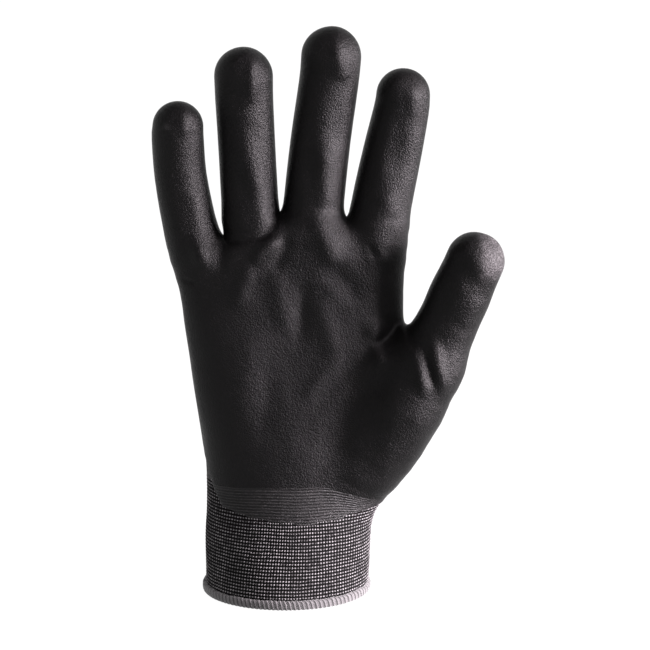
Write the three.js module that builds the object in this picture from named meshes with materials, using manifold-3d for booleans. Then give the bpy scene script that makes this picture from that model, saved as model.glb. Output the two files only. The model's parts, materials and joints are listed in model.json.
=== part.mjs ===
// A cut-resistant work glove for the right hand: a seamless knitted liner, dipped on its palm
// side in foam nitrile, with a rib-knit cuff and an overlocked hem.
// Millimetres. The glove stands on its hem: +Z runs to the fingertips, -Y is the palm side and
// +X the thumb side. The origin is the middle of the cuff's mouth, in the plane of the hem.
import * as THREE from "three";
import { mergeVertices } from "three/addons/utils/BufferGeometryUtils.js";
import Module from "manifold-3d";

const wasm = await Module();
wasm.setup();

// ---------------------------------------------------------------- driving dimensions

const LINER_WALL = 1.0; // thickness of the knitted liner
const COAT_WALL = 0.8; // thickness of the nitrile film
const GAP = 0.3; // free gap between pieces that touch
const COAT_INSIDE = GAP; // the film's inner face, measured out from the liner
const COAT_OUTSIDE = COAT_INSIDE + COAT_WALL;

const CUFF_TOP = 50; // where the rib knit ends and the plain hand knit starts
const HEM_HEIGHT = 4.6;
const HEM_THREAD = 1.3; // build-up of overlock thread on each face of the knit
const KNIT_EDGE = HEM_THREAD + GAP; // height of the knit's cut edge inside the hem

const FINGER_DEPTH = 0.92; // a stall's front-to-back size over its width
const HINGE_OFFSET = 0.4; // the fold line lies this share of the radius to the palm side
const FOLD_MARGIN = 3; // degrees of free angle left in a fully closed fold
const TIP_COATED = 11; // the film goes all round this length of each fingertip
const WINDOW_START = 0.3; // the bare back starts this share of the radius behind the middle

const AROUND = 14; // sides of a stall
const BODY_AROUND = 24; // sides of the palm and cuff
const WELD = 0.02; // corners closer than this are one corner

// Sections of the knit from hem to webs: height, thumb-less side, thumb side, front and back
// distance from the Z axis, and the power of the superellipse (2 is an ellipse).
const BODY_SECTIONS = [
  { z: -4, left: 35.8, right: 35.0, front: 30, back: 30, power: 2 },
  { z: 6, left: 35.8, right: 35.4, front: 30, back: 30, power: 2 },
  { z: 28, left: 35.1, right: 37.6, front: 27, back: 26.5, power: 2 },
  { z: 46, left: 34.5, right: 38.5, front: 24.5, back: 23, power: 2 },
  { z: 62, left: 35, right: 42.5, front: 21.5, back: 20, power: 2.1 },
  { z: 80, left: 37, right: 44, front: 18, back: 17, power: 2.3 },
  { z: 100, left: 39.8, right: 45, front: 16, back: 15.5, power: 2.4 },
  { z: 120, left: 42.6, right: 49, front: 15, back: 14.5, power: 2.4 },
  { z: 140, left: 44.8, right: 49, front: 13.5, back: 13.5, power: 2.4 },
  { z: 154, left: 48.2, right: 49, front: 12, back: 12.5, power: 2.3 },
  { z: 158, left: 27, right: 48, front: 11, back: 11.5, power: 2.2 },
  { z: 165, left: 25, right: 43, front: 8, back: 8, power: 2 },
];

// Each stall: its knuckle fold on the centre line, then the sideways lean and the length of
// each part, and the knit's half width at each fold and at the tip.
const FINGERS = [
  {
    name: "little",
    knuckle: [-41.2, 0.6, 163],
    leans: [-9, -3, 1.5],
    lengths: [19, 16, 15],
    radii: [10.2, 9.8, 9.7, 9.5],
    rootLean: -14,
    foldLeans: [-8, -5, -3],
  },
  {
    name: "ring",
    knuckle: [-15.5, 0.3, 172.5],
    leans: [-3, -2.6, -0.5],
    lengths: [22.5, 20, 20.8],
    radii: [11.1, 11.0, 11.1, 11.1],
    rootLean: -4,
    foldLeans: [-3, -2, -1],
  },
  {
    name: "middle",
    knuckle: [12.2, 0.3, 172.5],
    leans: [6.4, 7.6, 5],
    lengths: [25.5, 23.5, 23],
    radii: [11.6, 11.2, 11.0, 11.2],
    rootLean: 4,
    foldLeans: [4, 4, 3],
  },
  {
    name: "index",
    knuckle: [41, 0.6, 170],
    leans: [11.2, 11.6, 6],
    lengths: [22, 18.5, 17.2],
    radii: [11.9, 11.5, 10.9, 10.4],
    rootLean: 6,
    foldLeans: [10, 9, 7],
  },
];
const FINGER_PARTS = ["base", "middle", "tip"];
const FINGER_CURLS = [3, 7, 12]; // forward lean of the three parts of a relaxed stall
const FINGER_FOLDS = [60, 80, 48]; // how far knuckle, middle and end joints close
// A finger's tube inside the palm: distance past the knuckle fold and share of the radius. The
// last station is hidden in the palm, and the first one in the stall, so that the fold trims it.
const STALL_ROOT = [
  [-38, 0.5],
  [-13, 1],
  [4, 1],
];

const THUMB = {
  name: "thumb",
  knuckle: [67.3, -12, 118],
  leans: [21.5, 20.5],
  lengths: [21.5, 23],
  radii: [12.4, 12.0, 11.4],
  foldLeans: [21.5, 20.5],
  curls: [12, 16],
  roll: -35, // the thumb closes across the palm, not straight forward
  windowStart: 0.6,
};
const THUMB_PARTS = ["base", "tip"];
const THUMB_FOLDS = [35, 55];
// Down the ball of the thumb, from wrist to stall. The first station is hidden in the palm and
// the last one in the stall, so that the fold trims it.
const THUMB_BALL = [
  { at: [24, -2, 44], radius: 10 },
  { at: [35, -4, 60], radius: 17 },
  { at: [47, -7, 78], radius: 16 },
  { at: [58.5, -10, 98], radius: 14.4 },
  { at: [71, -13, 126], radius: THUMB.radii[0] },
];
// The web between thumb and index finger: a bar across the crotch.
const THUMB_WEB = [
  { at: [36, -1, 102], radius: 11 },
  { at: [63, -11.5, 103], radius: 11 },
];

// The film's lower edge on the wrist: a shallow arc, lowest in the middle of the palm side.
const COAT_EDGE_MIDDLE = 37;
const COAT_EDGE_SIDES = 54;
const COAT_REACH_BACK = 4; // the film wraps this far behind the middle plane of the palm

const ELASTIC = { turns: 8, radius: 0.45, steps: 20, sides: 4, inset: 0.35 };

const KNIT_BLACK = { color: 0x1b1b1d, roughness: 0.9, metalness: 0 };
const FILM_BLACK = { color: 0x101012, roughness: 0.55, metalness: 0 };
const HEM_GREY = { color: 0x77747a, roughness: 0.85, metalness: 0 };
const ELASTIC_WHITE = { color: 0xb9b6b4, roughness: 0.8, metalness: 0 };

// ---------------------------------------------------------------- solids and meshes

const BIG = 400; // larger than the glove, for cutting tools

// A closed three.js geometry as a solid that can be joined and cut.
function solid(geometry) {
  const bare = geometry.clone();
  bare.deleteAttribute("normal");
  bare.deleteAttribute("uv");
  const merged = mergeVertices(bare, 1e-4);
  return new wasm.Manifold(
    new wasm.Mesh({
      numProp: 3,
      vertProperties: merged.attributes.position.array,
      triVerts: new Uint32Array(merged.index.array),
    }),
  );
}

// The largest of a solid's separate bodies, without the crumbs that cutting can leave.
function largest(body) {
  const bodies = body.decompose();
  return bodies.reduce((most, next) => (next.volume() > most.volume() ? next : most));
}

// Merges corners that lie within the weld distance, and drops the triangles that this closes.
function weld({ vertProperties, triVerts }) {
  const geometry = new THREE.BufferGeometry()
    .setAttribute("position", new THREE.BufferAttribute(vertProperties, 3))
    .setIndex(new THREE.BufferAttribute(triVerts, 1));
  const merged = mergeVertices(geometry, WELD);
  const corners = merged.index.array;
  const kept = [];
  for (let i = 0; i < corners.length; i += 3) {
    const [a, b, c] = corners.slice(i, i + 3);
    if (a !== b && b !== c && c !== a) {
      kept.push(a, b, c);
    }
  }
  return merged.setIndex(kept);
}

// A solid as a named mesh with its own material.
function piece(name, body, finish) {
  const geometry = weld(largest(body).getMesh());
  geometry.computeVertexNormals();
  const mesh = new THREE.Mesh(geometry, new THREE.MeshStandardMaterial(finish));
  mesh.name = name;
  return mesh;
}

const union = (solids) => solids.reduce((all, next) => all.add(next));
const cutAway = (body, cutters) =>
  cutters.reduce((left, cutter) => left.subtract(cutter), body);

// A block between two corners.
function block(low, high) {
  const size = high.map((v, i) => v - low[i]);
  const middle = high.map((v, i) => (v + low[i]) / 2);
  return solid(new THREE.BoxGeometry(...size).translate(...middle));
}

// A round tube form through a row of stations, each with a centre and a radius: a unit cylinder
// whose rings are moved on to the stations, square to the path.
function tubeForm(stations, grow) {
  const rings = stations.length - 1;
  const centres = stations.map(({ at }) => new THREE.Vector3(...at));
  const form = new THREE.CylinderGeometry(1, 1, rings, AROUND, rings);
  const vertices = form.attributes.position;
  for (let i = 0; i < vertices.count; i++) {
    const k = Math.round(vertices.getY(i) + rings / 2);
    const before = centres[Math.max(k - 1, 0)];
    const after = centres[Math.min(k + 1, rings)];
    const along = after.clone().sub(before).normalize();
    const back = new THREE.Vector3(0, 1, 0).projectOnPlane(along).normalize();
    const side = back.clone().cross(along);
    const radius = stations[k].radius + grow;
    const at = centres[k].clone();
    at.addScaledVector(back, radius * vertices.getX(i));
    at.addScaledVector(side, radius * vertices.getZ(i));
    vertices.setXYZ(i, at.x, at.y, at.z);
  }
  return solid(form);
}

// ---------------------------------------------------------------- the hand's main body

// The section at a height, by straight lines between the listed sections.
function sectionAt(z) {
  const last = BODY_SECTIONS.length - 1;
  const above = BODY_SECTIONS.findIndex((s) => s.z >= z);
  const high = BODY_SECTIONS[above < 0 ? last : Math.max(above, 1)];
  const low = BODY_SECTIONS[BODY_SECTIONS.indexOf(high) - 1];
  const t = THREE.MathUtils.clamp((z - low.z) / (high.z - low.z), 0, 1);
  const mix = (key) => THREE.MathUtils.lerp(low[key], high[key], t);
  return {
    left: mix("left"),
    right: mix("right"),
    front: mix("front"),
    back: mix("back"),
    power: mix("power"),
  };
}

// The palm and cuff, grown outwards by a distance: a unit cylinder whose rings are moved on to
// the sections. A section is a superellipse with its own reach on each of its four sides.
function bodyForm(grow) {
  const levels = BODY_SECTIONS.map((s) => s.z);
  const rings = levels.length - 1;
  const form = new THREE.CylinderGeometry(1, 1, rings, BODY_AROUND, rings);
  const at = form.attributes.position;
  for (let i = 0; i < at.count; i++) {
    const z = levels[Math.round(at.getY(i) + rings / 2)];
    const s = sectionAt(z);
    const [across, along] = [at.getX(i), -at.getZ(i)];
    const bend = (v) => Math.sign(v) * Math.abs(v) ** (2 / s.power);
    const middle = (s.right - s.left) / 2;
    const reachX = (s.right + s.left) / 2 + grow;
    const reachY = (along < 0 ? s.front : s.back) + grow;
    at.setXYZ(i, middle + reachX * bend(across), reachY * bend(along), z);
  }
  return solid(form);
}

// ---------------------------------------------------------------- stalls and their folds

const radians = THREE.MathUtils.degToRad;

// The direction of a stall that leans sideways and curls forward by these angles.
function direction(lean, curl) {
  const [a, c] = [radians(lean), radians(curl)];
  return new THREE.Vector3(Math.sin(a) * Math.cos(c), -Math.sin(c), Math.cos(a) * Math.cos(c));
}

// A frame on a stall: +Z along it, +X across it, -Y the way it closes.
function partFrame(at, lean, curl, roll) {
  const along = direction(lean, curl);
  const side = new THREE.Vector3(Math.cos(radians(lean)), 0, -Math.sin(radians(lean)));
  side.applyAxisAngle(along, radians(roll));
  const back = along.clone().cross(side);
  return new THREE.Matrix4().makeBasis(side, back, along).setPosition(at);
}

// The parts of a stall, each with its frame at its own fold, on the stall's centre line.
function stallParts(stall, curls, folds, names) {
  const at = new THREE.Vector3(...stall.knuckle);
  return names.map((name, i) => {
    const frame = partFrame(at.clone(), stall.leans[i], curls[i], stall.roll ?? 0);
    const hinge = partFrame(at.clone(), stall.foldLeans[i], curls[i], stall.roll ?? 0);
    const length = stall.lengths[i];
    at.add(direction(stall.leans[i], curls[i]).multiplyScalar(length));
    return {
      name: `${stall.name}_${name}`,
      frame,
      hinge,
      windowStart: stall.windowStart ?? WINDOW_START,
      length,
      radius: stall.radii[i],
      farRadius: stall.radii[i + 1],
      fold: folds[i],
      isTip: i === names.length - 1,
    };
  });
}

// A stall part grown by a distance, in its own frame: a tapered tube form that runs a little past
// both folds, or ends in a dome at the tip.
function stallForm(part, grow) {
  const near = part.radius + grow;
  const far = part.farRadius + grow;
  const past = 6;
  const slope = (far - near) / part.length;
  const profile = [
    new THREE.Vector2(0, -past),
    new THREE.Vector2(near - slope * past, -past),
  ];
  if (part.isTip) {
    const domeSteps = 4;
    const domeFoot = part.length - part.farRadius;
    for (let i = 0; i <= domeSteps; i++) {
      const a = (i / domeSteps) * (Math.PI / 2);
      const r = i === domeSteps ? 0 : far * Math.cos(a);
      profile.push(new THREE.Vector2(r, domeFoot + far * Math.sin(a)));
    }
  } else {
    profile.push(new THREE.Vector2(far + slope * past, part.length + past));
    profile.push(new THREE.Vector2(0, part.length + past));
  }
  const form = new THREE.LatheGeometry(profile, AROUND);
  return form.rotateX(Math.PI / 2).scale(1, FINGER_DEPTH, 1);
}

// The tool that cuts a tube off at a fold, in the fold's frame. It leaves the tube's end square
// behind the fold line, and cut back in a wedge in front of it, so that the fold can close.
// side is +1 for the part beyond the fold and -1 for the part before it.
function foldCutter(part, side) {
  const line = -HINGE_OFFSET * part.radius;
  const wedge = Math.tan(radians((part.fold + FOLD_MARGIN) / 2));
  const deep = 30;
  const reach = part.radius + COAT_OUTSIDE + 1;
  const outline = new THREE.Shape([
    new THREE.Vector2(reach, -side * deep),
    new THREE.Vector2(reach, (side * GAP) / 2),
    new THREE.Vector2(line, (side * GAP) / 2),
    new THREE.Vector2(-reach, side * (GAP / 2 + (line + reach) * wedge)),
    new THREE.Vector2(-reach, -side * deep),
  ]);
  const tool = new THREE.ExtrudeGeometry(outline, { depth: 2 * reach, bevelEnabled: false });
  // The outline was drawn in (back, along): turn it so that it runs along the fold axis.
  const turn = new THREE.Matrix4().makeBasis(
    new THREE.Vector3(0, 1, 0),
    new THREE.Vector3(0, 0, 1),
    new THREE.Vector3(1, 0, 0),
  );
  return solid(tool.translate(0, 0, -reach).applyMatrix4(turn).applyMatrix4(part.hinge));
}

// The liner and film of one part of a stall.
function stallPieces(part, next) {
  const folds = [foldCutter(part, 1)];
  if (next) {
    folds.push(foldCutter(next, -1));
  }
  const place = (body) => body.transform(part.frame.elements);
  const form = (grow) => solid(stallForm(part, grow));
  const liner = place(form(0).subtract(form(-LINER_WALL)));
  const bareEnd = part.isTip ? part.length - TIP_COATED : BIG;
  const bareFrom = part.windowStart * part.radius;
  const window = block([-BIG, bareFrom, -BIG], [BIG, BIG, bareEnd]);
  const film = place(form(COAT_OUTSIDE).subtract(form(COAT_INSIDE)).subtract(window));
  return [
    piece(`liner_${part.name}`, cutAway(liner, folds), KNIT_BLACK),
    piece(`coating_${part.name}`, cutAway(film, folds), FILM_BLACK),
  ];
}

// ---------------------------------------------------------------- the whole hand

const stalls = FINGERS.map((f) => stallParts(f, FINGER_CURLS, FINGER_FOLDS, FINGER_PARTS));
stalls.push(stallParts(THUMB, THUMB.curls, THUMB_FOLDS, THUMB_PARTS));

// The whole hand up to its knuckles, grown by a distance.
function handForm(grow) {
  const roots = FINGERS.map(({ knuckle, rootLean, radii }) => {
    const along = direction(rootLean, 0);
    const station = ([offset, share]) => ({
      at: along.clone().multiplyScalar(offset).add(new THREE.Vector3(...knuckle)).toArray(),
      radius: radii[0] * share,
    });
    return tubeForm(STALL_ROOT.map(station), grow).scale([1, FINGER_DEPTH, 1]);
  });
  const thumb = [tubeForm(THUMB_BALL, grow), tubeForm(THUMB_WEB, grow)];
  return union([bodyForm(grow), ...roots, ...thumb]);
}

const knuckleCutters = stalls.map(([part]) => foldCutter(part, -1));
const handOuter = handForm(0);
const handInner = handForm(-LINER_WALL);
const handWall = handOuter.subtract(handInner);

const linerPalm = cutAway(handWall, [
  ...knuckleCutters,
  block([-BIG, -BIG, -BIG], [BIG, BIG, CUFF_TOP + GAP / 2]),
]);
const cuffKnit = cutAway(handWall, [
  block([-BIG, -BIG, -BIG], [BIG, BIG, KNIT_EDGE]),
  block([-BIG, -BIG, CUFF_TOP - GAP / 2], [BIG, BIG, BIG]),
]);

// The region that was dipped. Seen from the palm side it is everything above a shallow arc, and
// seen along the hand it is everything in front of a line that comes forward at the thumb.
function dippedRegion() {
  const reach = 120;
  const front = 60;
  const outline = new THREE.Shape();
  outline.moveTo(-reach, BIG);
  outline.lineTo(-reach, COAT_EDGE_SIDES);
  outline.lineTo(-40, COAT_EDGE_SIDES);
  outline.quadraticCurveTo(0, 2 * COAT_EDGE_MIDDLE - COAT_EDGE_SIDES, 40, COAT_EDGE_SIDES);
  outline.lineTo(reach, COAT_EDGE_SIDES);
  outline.lineTo(reach, BIG);
  const aboveArc = new THREE.ExtrudeGeometry(outline, {
    depth: 2 * front,
    bevelEnabled: false,
    curveSegments: 12,
  });
  const plan = new THREE.Shape([
    new THREE.Vector2(-reach, -front),
    new THREE.Vector2(reach, -front),
    new THREE.Vector2(reach, -12),
    new THREE.Vector2(45, COAT_REACH_BACK),
    new THREE.Vector2(-reach, COAT_REACH_BACK),
  ]);
  const inFront = new THREE.ExtrudeGeometry(plan, { depth: BIG, bevelEnabled: false });
  const arc = solid(aboveArc.rotateX(Math.PI / 2).translate(0, front, 0));
  return arc.intersect(solid(inFront));
}

const filmPalm = cutAway(
  handForm(COAT_OUTSIDE).subtract(handForm(COAT_INSIDE)).intersect(dippedRegion()),
  knuckleCutters,
);

// ---------------------------------------------------------------- hem and elastic

// The overlocked hem: a channel of thread round the knit's cut edge, with a flat foot.
function hem() {
  const between = (low, high) => block([-BIG, -BIG, low], [BIG, BIG, high]);
  const overWall = -LINER_WALL - GAP;
  const ring = bodyForm(GAP + HEM_THREAD).subtract(bodyForm(overWall - HEM_THREAD));
  const channel = bodyForm(GAP).subtract(bodyForm(overWall)).intersect(between(HEM_THREAD, BIG));
  return ring.intersect(between(0, HEM_HEIGHT)).subtract(channel);
}

// The elastic yarn laid in along the courses: one long helix against the cuff's inner face.
function elasticYarn() {
  const bottom = HEM_HEIGHT + 4;
  const top = CUFF_TOP - 5;
  const points = [];
  const count = ELASTIC.turns * ELASTIC.steps;
  for (let i = 0; i <= count; i++) {
    const z = THREE.MathUtils.lerp(bottom, top, i / count);
    const a = (i / ELASTIC.steps) * 2 * Math.PI;
    const s = sectionAt(z);
    const inset = LINER_WALL + ELASTIC.inset + 2 * ELASTIC.radius;
    const reachX = (s.right + s.left) / 2 - inset;
    const reachY = (Math.sin(a) < 0 ? s.front : s.back) - inset;
    const x = (s.right - s.left) / 2 + reachX * Math.cos(a);
    points.push(new THREE.Vector3(x, reachY * Math.sin(a), z));
  }
  const section = new THREE.Shape(
    Array.from({ length: ELASTIC.sides }, (_, i) => {
      const a = (i / ELASTIC.sides) * 2 * Math.PI;
      return new THREE.Vector2(ELASTIC.radius * Math.cos(a), ELASTIC.radius * Math.sin(a));
    }),
  );
  return solid(
    new THREE.ExtrudeGeometry(section, {
      extrudePath: new THREE.CatmullRomCurve3(points),
      steps: count,
      bevelEnabled: false,
    }),
  );
}

// ---------------------------------------------------------------- assembly

const glove = new THREE.Group();
glove.add(piece("cuff_rib_knit", cuffKnit, KNIT_BLACK));
glove.add(piece("cuff_elastic_yarn", elasticYarn(), ELASTIC_WHITE));
glove.add(piece("hem_overlock", hem(), HEM_GREY));
glove.add(piece("liner_palm", linerPalm, KNIT_BLACK));
glove.add(piece("coating_palm", filmPalm, FILM_BLACK));

for (const parts of stalls) {
  parts.forEach((part, i) => glove.add(...stallPieces(part, parts[i + 1])));
}

export default glove;
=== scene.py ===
# %% [markdown]
# # A dipped, knitted work glove
#
# The real glove starts as a seamless knitted liner. It is pulled on to a hand-shaped former, and
# its palm side is dipped in foamed nitrile, which cures to a thin matt skin. This lesson builds it
# the same way round: first the shape of the former, then the knit, then the skin on top of it.
#
# Everything is in metres in Blender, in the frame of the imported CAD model. A hand is easier to
# think about in millimetres, so the maths is in millimetres and one factor turns it into metres.

# %% Load the frame
import json
import math

import bpy
import numpy as np
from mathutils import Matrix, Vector

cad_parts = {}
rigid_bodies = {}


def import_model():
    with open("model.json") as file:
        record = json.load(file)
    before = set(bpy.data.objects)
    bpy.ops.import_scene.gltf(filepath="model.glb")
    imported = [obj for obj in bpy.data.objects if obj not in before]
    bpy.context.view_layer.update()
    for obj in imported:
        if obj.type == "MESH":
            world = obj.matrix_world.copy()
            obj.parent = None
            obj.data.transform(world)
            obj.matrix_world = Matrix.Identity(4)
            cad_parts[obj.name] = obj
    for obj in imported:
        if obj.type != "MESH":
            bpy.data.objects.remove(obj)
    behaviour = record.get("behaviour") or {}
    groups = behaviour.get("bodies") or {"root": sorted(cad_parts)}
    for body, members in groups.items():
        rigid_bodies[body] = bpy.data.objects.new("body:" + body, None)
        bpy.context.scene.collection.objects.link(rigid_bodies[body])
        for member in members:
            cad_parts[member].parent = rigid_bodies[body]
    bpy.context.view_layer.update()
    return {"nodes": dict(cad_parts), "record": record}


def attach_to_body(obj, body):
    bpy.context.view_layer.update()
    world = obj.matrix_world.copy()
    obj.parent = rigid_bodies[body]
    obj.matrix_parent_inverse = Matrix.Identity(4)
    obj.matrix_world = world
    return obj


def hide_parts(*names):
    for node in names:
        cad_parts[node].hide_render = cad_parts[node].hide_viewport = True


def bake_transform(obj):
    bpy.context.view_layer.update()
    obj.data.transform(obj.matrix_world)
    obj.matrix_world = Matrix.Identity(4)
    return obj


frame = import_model()
MM = 0.001
RECORD = frame["record"]
rng = np.random.default_rng(9)

# %% [markdown]
# ## The folds
#
# The glove bends where the hand in it bends. The CAD record holds one hinge for each fold, so the
# fold positions are read from it and nothing has to be measured twice.

# %% Read the folds
HINGES = {}
for joint in RECORD["behaviour"]["joints"]:
    HINGES[joint["child"]] = {
        "body": joint["parent"],
        "at": np.array(joint["pos_m"]) / MM,
        "axis": np.array(joint["axis"]),
    }
print(len(HINGES), "folds:", ", ".join(HINGES))

# %% [markdown]
# ## The former, as a field
#
# A glove branches five times, so no single grid of two parameters covers it without seams at the
# webs. It is easier to describe the former as a *field*: a function that is zero on the surface,
# negative inside and about the distance in millimetres outside. Fields are joined with a rounded
# minimum, which fills the webs between the fingers as cloth does.
#
# Each stall (the part that holds one finger) is a tube along a smooth path. The numbers are the
# path's stations from palm to tip and the tube's radius at each one.

# %% The stalls' paths
STALL_PATHS = {
    "little": [
        (-32.0, 0.6, 126.0, 5.5), (-38.1, 0.6, 150.4, 10.9), (-41.2, 0.6, 163.0, 10.8),
        (-44.3, -0.4, 181.7, 10.4), (-45.1, -2.9, 197.6, 10.3), (-44.8, -4.2, 203.2, 10.0),
    ],
    "ring": [
        (-12.9, 0.3, 134.6, 6.0), (-14.4, 0.3, 159.5, 11.6), (-15.2, 0.3, 172.5, 11.5),
        (-16.2, -0.9, 194.9, 11.4), (-17.0, -3.3, 214.8, 11.5), (-17.1, -5.3, 224.0, 11.6),
    ],
    "middle": [
        (9.5, 0.3, 134.6, 6.0), (11.3, 0.3, 159.5, 12.2), (12.2, 0.3, 172.5, 12.2),
        (15.0, -1.0, 197.8, 12.0), (18.3, -3.9, 220.9, 11.8), (19.4, -6.4, 232.2, 11.8),
    ],
    "index": [
        (37.0, 0.6, 132.2, 6.0), (39.2, 0.6, 157.1, 12.2), (40.8, 0.6, 170.0, 12.2),
        (45.1, -0.6, 191.6, 11.8), (48.7, -3.0, 209.5, 11.0), (49.4, -4.5, 216.2, 10.6),
    ],
}
THUMB_PATH = [
    (24.0, -2.0, 44.0, 10.0), (35.0, -4.0, 60.0, 17.2), (47.0, -7.0, 78.0, 16.5),
    (58.2, -10.0, 98.0, 14.7), (67.5, -12.0, 118.0, 12.4), (75.1, -16.3, 137.6, 12.1),
    (79.2, -19.5, 148.4, 11.6),
]
WEB_PATH = [(34.0, -1.0, 101.5, 11.4), (63.0, -11.5, 103.0, 11.4)]
ROOT_FILLET = {"little": 6.0, "ring": 4.0, "middle": 8.0, "index": 7.0}
FINGER_DEPTH = 0.92  # a finger is a little thinner front to back than it is wide


def smooth_path(stations, steps):
    """A Catmull-Rom curve through the stations: between two of them each coordinate is the cubic
    whose slope at a station is half the step from the station before to the one after."""
    s = np.array(stations, float)
    padded = np.vstack([2 * s[0] - s[1], s, 2 * s[-1] - s[-2]])
    k = np.repeat(np.arange(len(s) - 1), steps)
    t = np.tile(np.arange(steps) / steps, len(s) - 1)[:, None]
    a, b, c, d = (padded[k + i] for i in range(4))
    inner = 0.5 * (
        2 * b + (c - a) * t + (2 * a - 5 * b + 4 * c - d) * t**2 + (3 * b - a - 3 * c + d) * t**3
    )
    return np.vstack([inner, s[-1]])


TUBES = {name: smooth_path(path, 3) for name, path in STALL_PATHS.items()}
TUBES["thumb"] = smooth_path(THUMB_PATH, 3)
FINE_TUBES = {name: smooth_path(path, 12) for name, path in STALL_PATHS.items()}
FINE_TUBES["thumb"] = smooth_path(THUMB_PATH, 12)
print({name: len(tube) for name, tube in TUBES.items()})

# %% [markdown]
# The distance to a tube is the least distance to its short straight pieces, minus the radius
# there. While the nearest piece is known, the same loop can say how far along the tube the point
# is and how far it lies towards the back of the hand, which the dip line needs later.


# %% Distance to a tube
def tube_field(p, tube, squash=1.0, reach=14.0):
    """For each point: distance to the tube's skin; length along it; offset to the back of the
    hand; radius there. With q the nearest point of the path, distance = |p - q| - radius, after
    the front-to-back axis is stretched by 1 / squash. Points beyond reach of the tube's box are
    only given a large distance."""
    stretch = np.array([1.0, 1.0 / squash, 1.0])
    low = tube[:, :3].min(0) - tube[:, 3].max() - reach
    high = tube[:, :3].max(0) + tube[:, 3].max() + reach
    near = np.flatnonzero(np.all((p > low) & (p < high), axis=1))
    out = np.full((4, len(p)), 60.0)
    q = p[near] * stretch
    best = np.full((4, len(near)), 60.0)
    length = 0.0
    for a, b in zip(tube[:-1], tube[1:]):
        start, span = a[:3] * stretch, (b[:3] - a[:3]) * stretch
        size = np.sqrt(span @ span)
        t = np.clip((q - start) @ span / size**2, 0, 1)
        offset = q - start - t[:, None] * span
        radius = a[3] + t * (b[3] - a[3])
        distance = np.sqrt(np.einsum("ij,ij->i", offset, offset)) - radius
        closer = distance < best[0]
        along = (q - start) @ span / size if b is tube[-1] else t * size
        best[:, closer] = np.stack([distance, length + along, offset[:, 1], radius])[:, closer]
        length += size
    out[:, near] = best
    return out


# %% [markdown]
# The palm and wrist are one long form. At each height its outline is a *superellipse*, which can
# be a plain ellipse at the cuff and a flatter, squarer shape across the palm. Four numbers say how
# far it reaches to each side. Its upper end is an arch that sets how high the webs sit.

# %% The palm and wrist
# height, reach to the little-finger side, to the thumb side, to the front, to the back, power
SECTIONS = np.array([
    (-12, 35.6, 35.2, 29.8, 29.8, 2.0),
    (6, 36.0, 35.8, 29.6, 29.6, 2.0),
    (28, 35.4, 37.4, 26.9, 26.4, 2.0),
    (46, 34.9, 38.6, 24.3, 22.8, 2.0),
    (62, 35.4, 42.5, 21.6, 20.2, 2.1),
    (80, 37.2, 44.3, 18.6, 17.6, 2.3),
    (100, 40.2, 45.6, 16.6, 16.0, 2.4),
    (120, 43.0, 49.4, 15.6, 15.0, 2.4),
    (140, 45.3, 49.6, 14.2, 14.0, 2.4),
    (156, 48.0, 49.2, 13.0, 13.0, 2.3),
    (172, 50.0, 47.0, 11.0, 11.0, 2.2),
], float)
ARCH_X = [-60, -40, -26, -2, 25, 44, 60]
ARCH_Z = [146, 152, 154.6, 163.2, 161.6, 157, 150]
FINE_Z = np.linspace(-12, 172, 185)
FINE = smooth_path(SECTIONS, 24)
FINE = np.stack([np.interp(FINE_Z, FINE[:, 0], FINE[:, k]) for k in range(1, 6)])


def axis_x(z):
    """Where the middle of the palm or wrist is from side to side, at a height."""
    return np.interp(z, FINE_Z, (FINE[1] - FINE[0]) / 2)


def rounded_min(a, b, k):
    """The smaller of two fields, with a fillet of size k where they are nearly equal:
    min(a, b) - k/4 (1 - |a - b| / k)^2 inside the fillet."""
    h = np.clip(1 - np.abs(a - b) / k, 0, 1)
    return np.minimum(a, b) - 0.25 * k * h * h


def palm_field(p):
    """With u, v the point's place over the reach on its own side, and n the power, the outline is
    (|u|^n + |v|^n)^(1/n) = 1. That value minus one, over its slope, is the distance. The arch
    closes the top."""
    left, right, front, back, n = (np.interp(p[:, 2], FINE_Z, row) for row in FINE)
    middle, half = (right - left) / 2, (right + left) / 2
    deep = np.where(p[:, 1] < 0, front, back)
    u = np.abs(p[:, 0] - middle) / half + 1e-6
    v = np.abs(p[:, 1]) / deep + 1e-6
    rho = (u**n + v**n) ** (1 / n)
    slope = rho ** (1 - n) * np.hypot(u ** (n - 1) / half, v ** (n - 1) / deep)
    side = np.clip((rho - 1) / np.maximum(slope, 0.01), -20, 60)
    top = p[:, 2] - np.interp(p[:, 0], ARCH_X, ARCH_Z)
    return -rounded_min(-side, -top, 9.0)


# %% [markdown]
# A glove that has been worn isn't a clean former. The skin keeps soft folds and hollows that run
# down from the webs, pads under the fingers, and two short wrinkles at the root of the thumb. Each
# is a long low hill, or a valley where its height is negative, added to the field in front only.

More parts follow.
